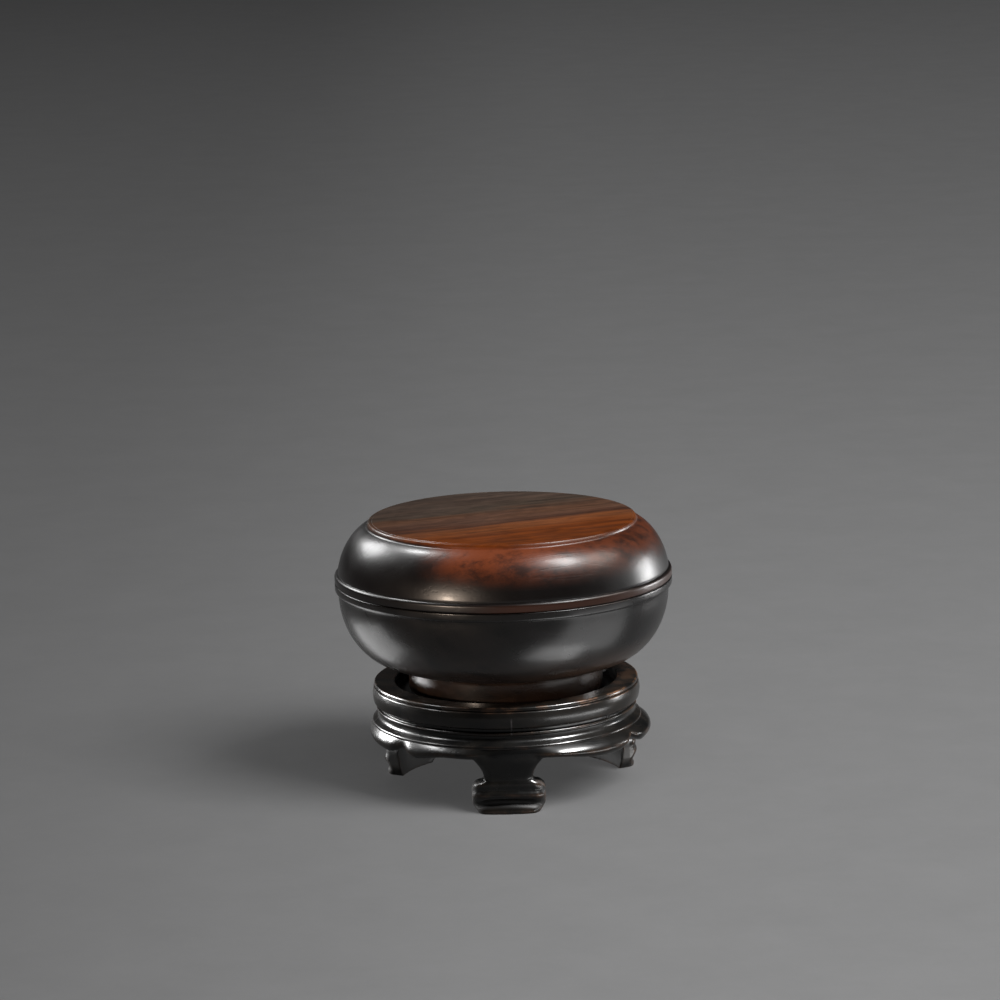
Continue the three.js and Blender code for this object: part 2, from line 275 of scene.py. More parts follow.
def bowl_side():
    """Outer face from the foot ring up to the neck, a quarter of a slightly squared oval."""
    top = JOINT_Z - BEAD_HEIGHT - 0.9 * MM
    low = UNDERSIDE_Z + 0.25 * MM
    end = FOOT_RING_R + 0.7 * MM
    points = []
    for i in range(SIDE_STEPS, -1, -1):
        angle = i / SIDE_STEPS * math.pi / 2
        r = end + (NECK_R - end) * math.cos(angle) ** SIDE_POWER_OUT
        z = top - (top - low) * math.sin(angle) ** SIDE_POWER_DOWN
        points.append((r, z, 0))
    return points


# %% [markdown]
# Inside, the hollow follows the outside at about the thickness of the wall, and at the top a thin flange
# stands up for the lid. The underside is hollowed too, which leaves the bowl standing on a narrow ring.

# %% Bowl outline
FOOT_RING_THICK = 3.1 * MM
FLANGE_THICK = 1.8 * MM
BOWL_WALL = 3 * MM


def bowl_outline():
    """Whole bowl from the middle of its underside, up the outside, over the flange and down inside."""
    inner_r = FLANGE_R - FLANGE_THICK
    foot_inner = FOOT_RING_R - FOOT_RING_THICK
    rim_z = JOINT_Z - 0.05 * MM
    floor_z = UNDERSIDE_Z + BOWL_WALL
    foot = [(0, UNDERSIDE_Z, 0),
            (foot_inner, UNDERSIDE_Z, 0.8 * MM),
            (foot_inner, BOWL_FOOT_Z, 0.5 * MM),
            (FOOT_RING_R, BOWL_FOOT_Z, 0.5 * MM),
            (FOOT_RING_R - 0.1 * MM, UNDERSIDE_Z - 0.9 * MM, 0.4 * MM),
            (FOOT_RING_R + 0.2 * MM, UNDERSIDE_Z + 0.05 * MM, 0.4 * MM)]
    lip = bead(JOINT_Z - BEAD_HEIGHT, rim_z, -1)
    inside = [(FLANGE_R, rim_z, 0.15 * MM),
              (FLANGE_R, FLANGE_TOP_Z, 0.35 * MM),
              (inner_r, FLANGE_TOP_Z, 0.35 * MM),
              (inner_r, JOINT_Z - 8 * MM, 6 * MM),
              (31.6 * MM, UNDERSIDE_Z + 7.2 * MM, 4 * MM),
              (26 * MM, floor_z, 5 * MM),
              (0, floor_z, 0)]
    return rounded(foot + bowl_side() + lip + inside)


bowl = finish_piece(spin_body(bowl_outline()), "bowl_turned", "bowl")

# %% [markdown]
# ## The stand
# The stand is made from one block. Its collar and waist are turned, so they are spun like the box: a
# shallow seat for the foot ring, the collar with a fine groove under its edge, and a waist with one bead
# over a cove that flares out to the apron.

# %% Collar and waist
APRON_R = 33.6 * MM
APRON_INNER_R = APRON_R - 4.4 * MM
SEAT_R = FOOT_RING_R + 3.3 * MM
SEAT_Z = BOWL_FOOT_Z - GAP
COLLAR_R = SEAT_R + 5.4 * MM
WAIST_R = COLLAR_R - 1.6 * MM
LEG_HEIGHT = 13.5 * MM
APRON_TOP_Z = LEG_HEIGHT + 2.9 * MM
COLLAR_LOW_Z = APRON_TOP_Z + 4 * MM


def collar_outline():
    """Seat, rim, groove and collar, then the waist's bead and cove, closing under the seat."""
    under_z = SEAT_Z - 4.6 * MM
    return rounded([
        (0, SEAT_Z, 0),
        (SEAT_R - 0.2 * MM, SEAT_Z, 0.6 * MM),
        (SEAT_R, STAND_TOP_Z, 0.5 * MM),
        (COLLAR_R - 0.5 * MM, STAND_TOP_Z, 0.35 * MM),
        (COLLAR_R - 0.3 * MM, STAND_TOP_Z - 0.75 * MM, 0.2 * MM),
        (COLLAR_R - 0.75 * MM, STAND_TOP_Z - 0.95 * MM, 0.12 * MM),
        (COLLAR_R - 0.25 * MM, STAND_TOP_Z - 1.15 * MM, 0.2 * MM),
        (COLLAR_R + 0.1 * MM, STAND_TOP_Z - 2.8 * MM, 1.2 * MM),
        (COLLAR_R - 0.25 * MM, COLLAR_LOW_Z + 0.3 * MM, 0.5 * MM),
        (WAIST_R + 0.1 * MM, COLLAR_LOW_Z, 0.15 * MM),
        (WAIST_R + 0.1 * MM, COLLAR_LOW_Z - 0.7 * MM, 0.15 * MM),
        (WAIST_R + 0.75 * MM, COLLAR_LOW_Z - 0.85 * MM, 0.25 * MM),
        (WAIST_R + 0.75 * MM, COLLAR_LOW_Z - 1.45 * MM, 0.25 * MM),
        (WAIST_R + 0.2 * MM, COLLAR_LOW_Z - 1.6 * MM, 0.2 * MM),
        (WAIST_R + 0.3 * MM, COLLAR_LOW_Z - 2.9 * MM, 1.2 * MM),
        (COLLAR_R + 0.2 * MM, APRON_TOP_Z + 0.15 * MM, 0.25 * MM),
        (COLLAR_R + 0.3 * MM, APRON_TOP_Z - 0.5 * MM, 0.3 * MM),
        (COLLAR_R - 0.6 * MM, APRON_TOP_Z - 1.1 * MM, 0.3 * MM),
        (APRON_INNER_R + 0.6 * MM, APRON_TOP_Z - 1.1 * MM, 0.2 * MM),
        (APRON_INNER_R + 0.2 * MM, under_z, 0.8 * MM),
        (0, under_z, 0)])


collar = spin_body(collar_outline())
print("collar and waist:", len(collar.faces), "faces")

# %% [markdown]
# The apron hangs under the waist as a bulging band. By each leg its lower edge runs level, then it sags in
# a lobe and springs up to a sharp cusp in the middle of the span. The carver didn't space the cusps
# evenly, so each has its own small shift, in degrees. Everything else is written against the share of the
# way from a leg to the cusp, which lets one rule serve all three spans.

# %% Edge of the apron
SPAN = 120
CUSP_SHIFTS = (2, 0, 10)
CUSP_SHARE = 0.18
CUSP_RISE = 2.5 * MM
CUSP_POWER = 1.8
LOBE_STARTS = ((0.3, 0.3), (0.3, 0.3), (0.3, 0.52))
LOBE_EASE = 0.4
LOBE_DROP = 1.5 * MM


def place_in_span(degrees):
    """How far an angle lies from a leg, 0, to its span's cusp, 1, and where the lobe starts on the way."""
    span = int(degrees // SPAN) % len(CUSP_SHIFTS)
    past = degrees % SPAN
    cusp = SPAN / 2 + CUSP_SHIFTS[span]
    before, after = LOBE_STARTS[span]
    if past < cusp:
        return past / cusp, before
    return (SPAN - past) / (SPAN - cusp), after


def apron_edge(degrees):
    """Height of the lower edge at an angle from the middle leg."""
    share, start = place_in_span(degrees)
    drop = LOBE_DROP * smooth((share - start) / LOBE_EASE)
    rise = CUSP_RISE * max(0.0, (share - 1 + CUSP_SHARE) / CUSP_SHARE) ** CUSP_POWER
    return LEG_HEIGHT - drop + rise


edge_heights = [apron_edge(degrees) for degrees in range(360)]
print("apron's edge:", round(min(edge_heights) / MM, 2), "to", round(max(edge_heights) / MM, 2), "mm")

# %% [markdown]
# The band's face is an ovolo that swells to a belly and tucks in a little below it. It is somewhat fuller
# on the right, and it was cut back beside the legs and at the cusps, which leaves the lobes swelling out.

# %% Face of the apron
FULLER_SIDE = 0.8 * MM
LEG_INSET = 1.3 * MM
LEG_ZONE = 0.15
LEG_EASE = 0.2
CUSP_INSET = 0.6 * MM
CUSP_ZONE = 0.88
CUSP_EASE = 0.12
BELLY_TUCK = 0.12 * MM
BELLY_POWER = 1.5


def lobe_hollow(degrees):
    """How far the carved face lies back at a leg and at a cusp."""
    share = place_in_span(degrees)[0]
    at_leg = 1 - smooth((share - LEG_ZONE) / LEG_EASE)
    at_cusp = smooth((share - CUSP_ZONE) / CUSP_EASE)
    return LEG_INSET * at_leg + CUSP_INSET * at_cusp


def apron_radius(degrees, z):
    """Outer radius at an angle and a height: an ovolo above the belly, tucked in a little below it."""
    belly = APRON_R + FULLER_SIDE * math.sin(math.radians(degrees)) - lobe_hollow(degrees)
    if z >= LEG_HEIGHT:
        t = max(0.0, (APRON_TOP_Z - z) / (APRON_TOP_Z - LEG_HEIGHT))
        return blend(COLLAR_R, belly, math.sin(t * math.pi / 2))
    below = (LEG_HEIGHT - z) / MM
    return belly - BELLY_TUCK * below ** BELLY_POWER


# %% [markdown]
# The band could be built face by face, but it is quicker to spin a plain ring and then move its points:
# down to the carved edge, and out to the swelling face. The lowest part of the face is rounded in.

# %% Apron
APRON_ROWS = 14
APRON_STEPS = 360
EDGE_TUCK = 0.9 * MM
TUCK_START = 0.6
TUCK_EASE = 0.4


def angle_of(co):
    """Angle of a point from the middle leg, in degrees, turning towards +X."""
    return math.degrees(math.atan2(co.x, -co.y)) % 360


def plain_ring(top):
    """Ring spun from a box section that stands on the ground, with rows of points on its outside."""
    bm = bmesh.new()
    heights = [blend(top, 0, k / APRON_ROWS) for k in range(APRON_ROWS + 1)]
    outer = [bm.verts.new((0, -APRON_R, z)) for z in heights]
    inner = [bm.verts.new((0, -APRON_INNER_R, z)) for z in (0, top)]
    loop = outer + inner
    edges = [bm.edges.new(pair) for pair in zip(loop, loop[1:] + loop[:1])]
    bmesh.ops.spin(bm, geom=loop + edges, cent=(0, 0, 0), axis=(0, 0, 1), angle=2 * math.pi,
                   steps=APRON_STEPS, use_merge=True, use_duplicate=False)
    return bm


def carve_apron():
    """Plain ring whose points are moved out to the belly and down to the carved edge."""
    top = APRON_TOP_Z - 0.1 * MM
    bm = plain_ring(top)
    middle = (APRON_R + APRON_INNER_R) / 2
    for v in bm.verts:
        depth = 1 - v.co.z / top
        degrees = angle_of(v.co)
        z = blend(top, apron_edge(degrees), depth)
        flat = Vector((v.co.x, v.co.y))
        if flat.length > middle:
            tuck = EDGE_TUCK * max(0.0, (depth - TUCK_START) / TUCK_EASE) ** 2
            flat = flat.normalized() * (apron_radius(degrees, z) - tuck)
        v.co = (flat.x, flat.y, z)
    bmesh.ops.recalc_face_normals(bm, faces=bm.faces)
    return bm


apron = carve_apron()
print("apron:", len(apron.faces), "faces")

# %% [markdown]
# A leg flares out of the apron, narrows to an ankle and widens again to its foot. Seen from the front it
# is only a width for every height; seen from the side, its face and its back each have a radius.

# %% Outline of a leg
LEG_TOP_Z = LEG_HEIGHT + 1.2 * MM
FOOT_HEIGHT = 8 * MM
ANKLE_R = APRON_R - 2.8 * MM
FOOT_R = ANKLE_R - 0.2 * MM
ANKLE_THICK = 3.9 * MM
FOOT_THICK = 4.6 * MM
ANKLE_HALF = 5.65 * MM
FOOT_HALF = 8.6 * MM
LEG_FLARE = 2.7 * MM
FLARE_POWER = 2.2
PAD_TUCK = 1.7 * MM


def leg_half_width(z):
    """Half the width of a leg at a height, seen from the front."""
    if z > FOOT_HEIGHT:
        return ANKLE_HALF + LEG_FLARE * ((z - FOOT_HEIGHT) / (LEG_HEIGHT - FOOT_HEIGHT)) ** FLARE_POWER
    corner = max(0.0, 1 - (FOOT_HEIGHT - z) / (FOOT_HEIGHT * 0.3))
    low = max(0.0, 1 - z / (FOOT_HEIGHT * 0.35))
    return blend(ANKLE_HALF, FOOT_HALF, math.sqrt(1 - corner ** 2)) - PAD_TUCK * low ** 2


def leg_face(z, degrees, reach):
    """Radius of a leg's face at a height, before the foot's relief."""
    if z <= FOOT_HEIGHT:
        return blend(FOOT_R, ANKLE_R, z / FOOT_HEIGHT) + reach
    t = (z - FOOT_HEIGHT) / (LEG_HEIGHT - FOOT_HEIGHT)
    belly = apron_radius(degrees, max(z, LEG_HEIGHT)) - 0.05 * MM * smooth(t)
    return blend(ANKLE_R + reach, belly, smooth(t))


def leg_back(z, reach):
    """Radius of a leg's inner face at a height."""
    ankle = ANKLE_R - ANKLE_THICK + reach
    if z > FOOT_HEIGHT:
        return blend(ankle, APRON_INNER_R, smooth((z - FOOT_HEIGHT) / (LEG_HEIGHT - FOOT_HEIGHT)))
    return blend(FOOT_R - FOOT_THICK + reach, ankle, smooth(z / FOOT_HEIGHT))


print("leg's width at its top:", round(2 * leg_half_width(LEG_HEIGHT) / MM, 2), "mm")

# %% [markdown]
# The foot is carved as a scroll seen from the front: two rolls with a groove between them, a hollow under
# the rolls and a thin pad on the ground. Each is a bell curve over the height, and all of them bend up
# towards the middle of the foot. Rolls and groove are given by their height, half width and depth in mm.

# %% Relief of a foot
ROLLS = ((6.9, 0.9, 0.3), (4.4, 0.9, 0.55), (0.5, 0.6, 0.15))
GROOVES = ((5.6, 0.22, 0.2),)
ROLL_BEND = 0.4
HOLLOW_LEVEL = 2.3
HOLLOW_HALF = 0.8
HOLLOW_DEPTH = 0.9


def foot_relief(z, across):
    """How far the foot's face stands out at a height and at a place across it, from -1 to 1."""
    lift = 0.9 * (1 - across * across) - 0.45
    level = z / MM
    out = 0.0
    for centre, half, height in ROLLS:
        out += height * math.exp(-((level - centre - lift * ROLL_BEND) / half) ** 2)
    for centre, half, depth in GROOVES:
        out -= depth * math.exp(-((level - centre - lift * ROLL_BEND) / half) ** 2)
    hollow = math.exp(-((level - HOLLOW_LEVEL - lift) / HOLLOW_HALF) ** 2)
    out -= HOLLOW_DEPTH * hollow * (1 - 0.45 * abs(across) ** 3)
    return out * MM


# %% [markdown]
# Now a flat grid takes the shape of a leg: its rows get the width, the face and the relief of their
# height, and its sides are rounded off. One extrusion then gives the leg its thickness towards the axis.
# The legs don't stand quite evenly either, and the right one reaches out a little further.

# %% Legs
LEG_ANGLES = (0, 121.5, 240)
LEG_REACHES = (0, 2 * MM, 0)
GRID_ACROSS = 28
GRID_UP = 90
FLAT_SHARE = 0.75
SIDE_SHARE = 0.25


def carve_leg(degrees, reach):
    """Leg pointing to -Y, from a grid whose rows take the width and the relief of their height."""
    bm = bmesh.new()
    bmesh.ops.create_grid(bm, x_segments=GRID_ACROSS, y_segments=GRID_UP, size=1)
    for v in bm.verts:
        across = v.co.x
        z = blend(0, LEG_TOP_Z, (v.co.y + 1) / 2)
        x = across * leg_half_width(z)
        corner = max(0.0, (abs(across) - FLAT_SHARE) / SIDE_SHARE) ** 2
        rounding = blend(1.3, 0.5, smooth((z - 6 * MM) / (4 * MM))) * MM * corner
        relief = foot_relief(z, across) * smooth((FOOT_HEIGHT + 0.6 * MM - z) / (0.9 * MM))
        r = leg_face(z, degrees, reach) + relief - rounding
        v.co = (x, -math.sqrt(r * r - x * x), z)
    result = bmesh.ops.extrude_face_region(bm, geom=bm.faces[:], use_keep_orig=True)
    for v in (e for e in result["geom"] if isinstance(e, bmesh.types.BMVert)):
        r = leg_back(v.co.z, reach)
        v.co.y = -math.sqrt(r * r - v.co.x * v.co.x)
    bmesh.ops.recalc_face_normals(bm, faces=bm.faces)
    return bm


legs = [carve_leg(degrees, reach) for degrees, reach in zip(LEG_ANGLES, LEG_REACHES)]
print("one leg:", len(legs[0].faces), "faces")

# %% [markdown]
# The apron and the three legs overlap. A boolean would join them with hard seams, whereas a voxel remesh
# keeps only their common outside, as if they were carved from one block. A few rounds of smoothing then
# melt the steps and leave the soft arrises that a carver's scraper leaves.

# %% Fuse overlapping bodies
VOXEL = 0.31 * MM
SMOOTH_ROUNDS = 3


def add_body(target, source, turn):
    """Copies a bmesh into another one, turned round the Z axis by an angle in degrees."""
    mesh = bpy.data.meshes.new("part")
    source.to_mesh(mesh)
    mesh.transform(Matrix.Rotation(math.radians(turn), 4, "Z"))
    target.from_mesh(mesh)
    bpy.data.meshes.remove(mesh)


def fuse(bm, name):
    """Voxel remesh of overlapping bodies, smoothed."""
    mesh = bpy.data.meshes.new(name)
    bm.to_mesh(mesh)
    rough = bpy.data.objects.new(name, mesh)
    bpy.context.scene.collection.objects.link(rough)
    remesh = rough.modifiers.new("fuse", "REMESH")
    remesh.mode = "VOXEL"
    remesh.voxel_size = VOXEL
    evaluated = rough.evaluated_get(bpy.context.evaluated_depsgraph_get())
    fused = bmesh.new()
    fused.from_mesh(evaluated.to_mesh())
    evaluated.to_mesh_clear()
    bpy.data.objects.remove(rough)
    bpy.data.meshes.remove(mesh)
    for _ in range(SMOOTH_ROUNDS):
        bmesh.ops.smooth_vert(fused, verts=fused.verts, factor=0.5, use_axis_x=True, use_axis_y=True,
                              use_axis_z=True)
    return fused


# %% [markdown]
# Smoothing also lifts the soles a little off the ground, so afterwards the lowest points are let down
# again until they stand on it.

# %% Apron and legs in one skin
SOLE_HEIGHT = 0.35 * MM
SOLE_DROP = 0.15 * MM

carved = bmesh.new()
add_body(carved, apron, 0)
for leg, degrees in zip(legs, LEG_ANGLES):
    add_body(carved, leg, degrees)
skirt = fuse(carved, "skirt_rough")
for v in skirt.verts:
    if v.co.z < SOLE_HEIGHT:
        v.co.z = max(0.0, v.co.z - SOLE_DROP)
for bm in (carved, apron, *legs):
    bm.free()
print("apron and legs fused:", len(skirt.faces), "faces")

# %% [markdown]
# The collar and waist stay as they came off the lathe, because voxels would blur their fine mouldings.
# They are set into the carved skin as a closed body, and the overlap is hidden inside the wood.

# %% Join the stand
add_body(skirt, collar, 0)
collar.free()
stand = finish_piece(skirt, "stand_carved", "stand")

# %% [markdown]
# ## Finishes
# All three pieces are the same kind of heavy hardwood, nearly black where polish and handling have
# darkened it. The lid's top was left paler, so its streaks still run from orange to grey-brown. The
# materials are built from noises in Object coordinates, stretched along the grain, because a solid
# pattern runs through a turned shape as real grain does, without a seam.

# %% Material and coordinates
def new_material(name):
    """Empty principled material: returns the material, its tree, its shader and Object coordinates."""
    material = bpy.data.materials.new(name)
    material.use_nodes = True
    tree = material.node_tree
    shader = tree.nodes["Principled BSDF"]
    coords = tree.nodes.new("ShaderNodeTexCoord").outputs["Object"]
    return material, tree, shader, coords


def mapped(tree, vector, scale, turn=0.0, shift=(0, 0, 0)):
    """Coordinates scaled along each axis after a turn round Z, in degrees."""
    rotate = tree.nodes.new("ShaderNodeMapping")
    rotate.vector_type = "POINT"
    rotate.inputs["Rotation"].default_value = (0, 0, math.radians(turn))
    stretch = tree.nodes.new("ShaderNodeMapping")
    stretch.inputs["Scale"].default_value = scale
    stretch.inputs["Location"].default_value = shift
    tree.links.new(vector, rotate.inputs["Vector"])
    tree.links.new(rotate.outputs[0], stretch.inputs["Vector"])
    return stretch.outputs[0]


def split(tree, vector):
    """X, Y and Z of a vector."""
    s = tree.nodes.new("ShaderNodeSeparateXYZ")
    tree.links.new(vector, s.inputs[0])
    return s.outputs


# %% [markdown]
# Every finish below needs the same few nodes for its patterns and colours. A helper for each keeps a
# finish readable: it says what goes into the node and returns the socket that comes out.

# %% Patterns and colours
def noise(tree, vector, scale=1.0, detail=4.0, roughness=0.55, distortion=0.0):
    """Noise value between about 0.2 and 0.8."""
    n = tree.nodes.new("ShaderNodeTexNoise")
    n.inputs["Scale"].default_value = scale
    n.inputs["Detail"].default_value = detail
    n.inputs["Roughness"].default_value = roughness
    n.inputs["Distortion"].default_value = distortion
    tree.links.new(vector, n.inputs["Vector"])
    return n.outputs["Fac"]


def ramp(tree, value, stops):
    """Colour ramp through (place, colour) stops."""
    r = tree.nodes.new("ShaderNodeValToRGB")
    tree.links.new(value, r.inputs["Fac"])
    while len(r.color_ramp.elements) < len(stops):
        r.color_ramp.elements.new(0.5)
    for element, (place, colour) in zip(r.color_ramp.elements, stops):
        element.position = place
        element.color = (*colour, 1)
    return r.outputs["Color"]


def mix(tree, factor, a, b):
    """Mix of two colours, each a socket or a plain colour."""
    m = tree.nodes.new("ShaderNodeMix")
    m.data_type = "RGBA"
    inputs = [s for s in m.inputs if s.type == "RGBA"]
    for socket, value in zip(inputs, (a, b)):
        if isinstance(value, tuple):
            socket.default_value = (*value, 1)
        else:
            tree.links.new(value, socket)
    tree.links.new(factor, m.inputs[0])
    return next(s for s in m.outputs if s.type == "RGBA")


def scaled(tree, colour, value):
    """Colour made darker or lighter by a value."""
    m = tree.nodes.new("ShaderNodeVectorMath")
    m.operation = "SCALE"
    tree.links.new(colour, m.inputs[0])
    tree.links.new(value, m.inputs["Scale"])
    return m.outputs[0]


# %% [markdown]
# Three more helpers work on plain values. The first eases between two levels, and it is what fades one
# colour into another at a place on the wood; the others do sums and read the wear stored on the mesh.

# %% Values
def step(tree, value, low, high, to_low=0.0, to_high=1.0):
    """Value eased from to_low to to_high as it goes from low to high."""
    m = tree.nodes.new("ShaderNodeMapRange")
    m.interpolation_type = "SMOOTHSTEP"
    m.inputs["From Min"].default_value = low
    m.inputs["From Max"].default_value = high
    m.inputs["To Min"].default_value = to_low
    m.inputs["To Max"].default_value = to_high
    tree.links.new(value, m.inputs["Value"])
    return m.outputs["Result"]


def maths(tree, operation, a, b=None):
    """One maths node on sockets or plain numbers."""
    m = tree.nodes.new("ShaderNodeMath")
    m.operation = operation
    for socket, value in zip(m.inputs, (a, b)):
        if isinstance(value, (int, float)):
            socket.default_value = value
        elif value is not None:
            tree.links.new(value, socket)
    return m.outputs[0]


def wear_of(tree, low, high):
    """Edge wear stored on the mesh, eased between two values."""
    a = tree.nodes.new("ShaderNodeAttribute")
    a.attribute_name = WEAR
    return step(tree, a.outputs["Fac"], low, high)


# %% [markdown]
# Polished hardwood reflects in two ways: a soft sheen from the wood and a clearer one from the wax. Fine
# pores run along the grain, and a few hairline scratches cross it. All three finishes share that surface,
# and a piece can ask for a duller one where no cloth ever reached.

# %% Shared surface of polished wood
GRAIN_TURN = -22
SCRATCH_TURN = 35
WAX = 0.1
WAX_ROUGHNESS = 0.16


def along_grain(tree, coords, scale, shift=(0, 0, 0)):
    """Coordinates with a scale along the grain, one across it and one upwards."""
    return mapped(tree, coords, scale, GRAIN_TURN, shift)


def bump(tree, shader, height, strength, distance):
    """Bump from a height value, on the shader's normal."""
    b = tree.nodes.new("ShaderNodeBump")
    b.inputs["Strength"].default_value = strength
    b.inputs["Distance"].default_value = distance
    tree.links.new(height, b.inputs["Height"])
    tree.links.new(b.outputs["Normal"], shader.inputs["Normal"])


def polished_surface(tree, shader, coords, gloss, pore_depth, dull=0.0, ior=1.46):
    """Roughness and bump of waxed wood: pores along the grain, soft unevenness and hairline scratches."""
    pores = noise(tree, along_grain(tree, coords, (40, 900, 900)), detail=3.0, roughness=0.6)
    uneven = noise(tree, coords, 90.0, detail=2.0, roughness=0.5)
    across = mapped(tree, coords, (1500, 60, 700), SCRATCH_TURN)
    scratches = step(tree, noise(tree, across, detail=1.0, roughness=0.4), 0.70, 0.78)
    sheen = step(tree, uneven, 0.3, 0.7, gloss - 0.03, gloss + 0.05)
    rough = maths(tree, "ADD", sheen, maths(tree, "MULTIPLY", scratches, 0.05))
    rough = maths(tree, "MAXIMUM", rough, dull)
    tree.links.new(rough, shader.inputs["Roughness"])
    pits = maths(tree, "MULTIPLY", step(tree, pores, 0.30, 0.5), pore_depth)
    height = maths(tree, "ADD", pits, maths(tree, "MULTIPLY", uneven, 0.3))
    bump(tree, shader, height, strength=0.25, distance=0.12 * MM)
    shader.inputs["IOR"].default_value = ior
    shader.inputs["Coat Weight"].default_value = WAX
    shader.inputs["Coat Roughness"].default_value = WAX_ROUGHNESS


# %% [markdown]
# The lid's top shows long streaks that rise a little to the right. Broad bands turn from grey-brown at
# the back to orange at the front: a ramp over the distance across the grain gives their colours, and a
# slow noise lets their borders drift. The orange and the streaks are the wood's own colour, while the
# grey-brown towards the back is partly painted reflection of the grey backdrop that the polished top
# mirrors there. Finer noises break them up, with thin dark lines drawn over all.

# %% Streaks of the lid's top
TOP_WIDTH = 64 * MM
TOP_DRIFT = 30 * MM
# Colours from the front of the lid to its back; the grey-brown stops towards the back are partly painted
# reflection.
TOP_BANDS_AND_REFLECTION = ((0.0, (0.113, 0.024, 0.001)),
             (0.22, (0.116, 0.025, 0.001)),
             (0.33, (0.136, 0.042, 0.011)),
             (0.40, (0.048, 0.018, 0.009)),
             (0.52, (0.086, 0.041, 0.024)),
             (0.60, (0.082, 0.037, 0.019)),
             (0.70, (0.044, 0.030, 0.021)),
             (0.84, (0.056, 0.036, 0.026)),
             (1.0, (0.048, 0.033, 0.025)))
DARK_LINE = (0.030, 0.012, 0.008)
LINE_STRENGTH = 0.3


def band_place(tree, coords, x, y):
    """How far a place lies across the grain, from 0 at the front of the lid to 1 at its back."""
    drift = noise(tree, along_grain(tree, coords, (14, 90, 60)), detail=4.0, roughness=0.55, distortion=0.8)
    slope = math.tan(math.radians(-GRAIN_TURN))
    across = maths(tree, "SUBTRACT", y, maths(tree, "MULTIPLY", x, slope))
    drift = maths(tree, "MULTIPLY", maths(tree, "SUBTRACT", drift, 0.5), TOP_DRIFT)
    across = maths(tree, "ADD", across, drift)
    return maths(tree, "MULTIPLY", maths(tree, "ADD", across, TOP_WIDTH / 2), 1 / TOP_WIDTH)


def streaky_top(tree, coords, x, y):
    """Colour of the lid's top: bands, streaks, dark lines, darker at the far left; grey-brown at the back
    partly painted reflection.
    """
    streaks = along_grain(tree, coords, (28, 420, 260), (3, 0, 0))
    streaks = noise(tree, streaks, detail=6.0, roughness=0.65, distortion=0.5)
    mottle = along_grain(tree, coords, (170, 420, 300), (0, 0, 4))
    mottle = noise(tree, mottle, detail=5.0, roughness=0.6, distortion=0.7)
    lines = along_grain(tree, coords, (30, 1300, 900), (0, 5, 0))
    lines = noise(tree, lines, detail=3.0, roughness=0.6)
    shade = maths(tree, "ADD", maths(tree, "MULTIPLY", streaks, 1.3), maths(tree, "MULTIPLY", mottle, 0.9))
    shade = step(tree, shade, 0.75, 1.45, 0.55, 1.35)
    shade = maths(tree, "MULTIPLY", shade, step(tree, x, -26 * MM, -10 * MM, 0.82, 1.0))
    # The ramp's grey-brown towards the back is partly painted reflection of the backdrop.
    bands = scaled(tree, ramp(tree, band_place(tree, coords, x, y), TOP_BANDS_AND_REFLECTION), shade)
    return mix(tree, step(tree, lines, 0.40, 0.32, 0.0, LINE_STRENGTH), bands, DARK_LINE)


# %% [markdown]
# Down the shoulder the same wood has darkened: a broken red-brown patch in the middle and on the right,
# nearly black towards the left. Along the front of the lip a breath of warm brown is a painted reflection
# of a warm light, not the wood's own colour. Each is a mask over the height and over the place from left
# to right, roughened by a noise where its border shouldn't look drawn.

# %% Lid finish
RED_HEIGHTS = (54.5 * MM, 62.2 * MM)
RED_LEFT = (-21 * MM, -9 * MM)
RED_RIGHT = (26 * MM, 6 * MM)
LIP_REFLECTION_HEIGHTS = (JOINT_Z + 2.2 * MM, JOINT_Z + 1.2 * MM)
LIP_REFLECTION_LEFT = (-14 * MM, 6 * MM)
SHOULDER_BLACK = (0.004, 0.003, 0.003)
SHOULDER_RED = (0.150, 0.036, 0.011)
# Painted reflection: the warm brown laid along the front of the lip.
LIP_PAINTED_REFLECTION = (0.050, 0.017, 0.008)


def dark_shoulder(tree, coords, x, z):
    """Colour of the lid's shoulder: black wood, a red-brown patch and a painted warm reflection on the lip.
    """
    patch = along_grain(tree, coords, (150, 230, 280))
    patch = noise(tree, patch, detail=7.0, roughness=0.72, distortion=0.15)
    red = maths(tree, "MULTIPLY", step(tree, x, *RED_LEFT), step(tree, z, *RED_HEIGHTS))
    red = maths(tree, "MULTIPLY", red, step(tree, x, *RED_RIGHT, 0.65, 1.0))
    red = maths(tree, "MULTIPLY", red, step(tree, patch, 0.34, 0.60, 0.25, 1.0))
    side = mix(tree, red, SHOULDER_BLACK, SHOULDER_RED)
    # Painted reflection along the front of the lip, mixed over the wood.
    lip = maths(tree, "MULTIPLY", step(tree, z, *LIP_REFLECTION_HEIGHTS), step(tree, x, *LIP_REFLECTION_LEFT, 0.0, 0.7))
    return mix(tree, lip, side, LIP_PAINTED_REFLECTION)


def lid_finish():
    """Streaky brown top over a dark red-brown shoulder."""
    material, tree, shader, coords = new_material("lid_wood")
    x, y, z = split(tree, coords)
    is_top = step(tree, z, TOP_Z - 1.1 * MM, TOP_Z - 0.25 * MM)
    colour = mix(tree, is_top, dark_shoulder(tree, coords, x, z), streaky_top(tree, coords, x, y))
    tree.links.new(colour, shader.inputs["Base Color"])
    polished_surface(tree, shader, coords, gloss=0.32, pore_depth=0.35)
    return material


lid.data.materials.append(lid_finish())
print("lid finish on", lid.name)

# %% [markdown]
# The bowl is nearly black all over, with a breath of brown low on its right side and on the foot ring.

# %% Bowl finish
BOWL_BLACKS = ((0.35, (0.002, 0.002, 0.002)), (0.70, (0.007, 0.006, 0.006)))
BOWL_BROWN = (0.050, 0.026, 0.015)
BROWN_HEIGHTS = (40 * MM, 31 * MM)
BROWN_LEFT = (-5 * MM, 30 * MM)


